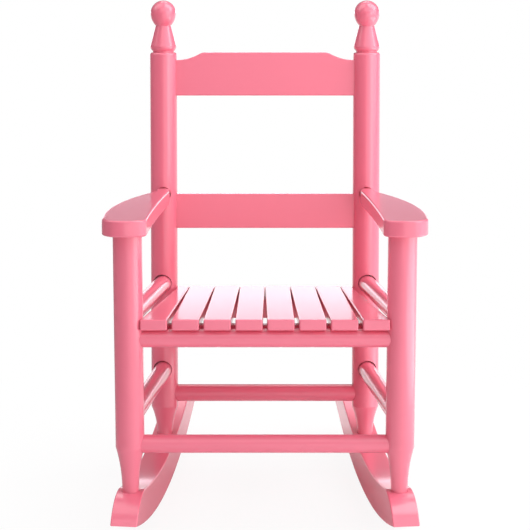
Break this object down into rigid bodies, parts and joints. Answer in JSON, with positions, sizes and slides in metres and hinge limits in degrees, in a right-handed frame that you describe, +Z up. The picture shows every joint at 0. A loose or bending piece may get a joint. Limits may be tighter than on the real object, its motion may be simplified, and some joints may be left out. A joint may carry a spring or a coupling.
{
  "type": "child rocking chair",
  "caption": "Painted wooden child rocking chair with turned posts, ball finials, a fanned slat seat, a shaped crest rail, flat paddle arms and curved rockers.",
  "frame": {"origin": "on the floor, at the middle of the chair's width and of the rockers' length; the rockers touch the floor about 10 mm ahead of it", "axes": "+Z up, the chair faces -Y, +X to the right of someone who looks at its front; the chair stands in the stance that it settles into by itself"},
  "size_m": [0.369, 0.4478, 0.5821],
  "materials": {
    "painted_wood": "semi-gloss pink paint over turned and sawn hardwood",
    "screw_steel": "zinc-plated wood screws, recessed"
  },
  "bodies": {
    "root": {"rocker_left": "painted_wood", "rocker_right": "painted_wood", "front_post_left": "painted_wood", "front_post_right": "painted_wood", "back_post_left": "painted_wood", "back_post_right": "painted_wood", "arm_left": "painted_wood", "arm_right": "painted_wood", "crest_rail": "painted_wood", "lower_back_rail": "painted_wood", "seat_slat_1": "painted_wood", "seat_slat_2": "painted_wood", "seat_slat_3": "painted_wood", "seat_slat_4": "painted_wood", "seat_slat_5": "painted_wood", "seat_slat_6": "painted_wood", "seat_slat_7": "painted_wood", "seat_slat_8": "painted_wood", "front_seat_rail": "painted_wood", "rear_seat_rail": "painted_wood", "front_seat_cleat": "painted_wood", "rear_seat_cleat": "painted_wood", "upper_side_rung_left": "painted_wood", "upper_side_rung_right": "painted_wood", "lower_side_rung_left": "painted_wood", "lower_side_rung_right": "painted_wood", "front_stretcher": "painted_wood", "rear_stretcher": "painted_wood", "slat_screws": "screw_steel", "rocker_screws": "screw_steel"}
  },
  "joints": []
}
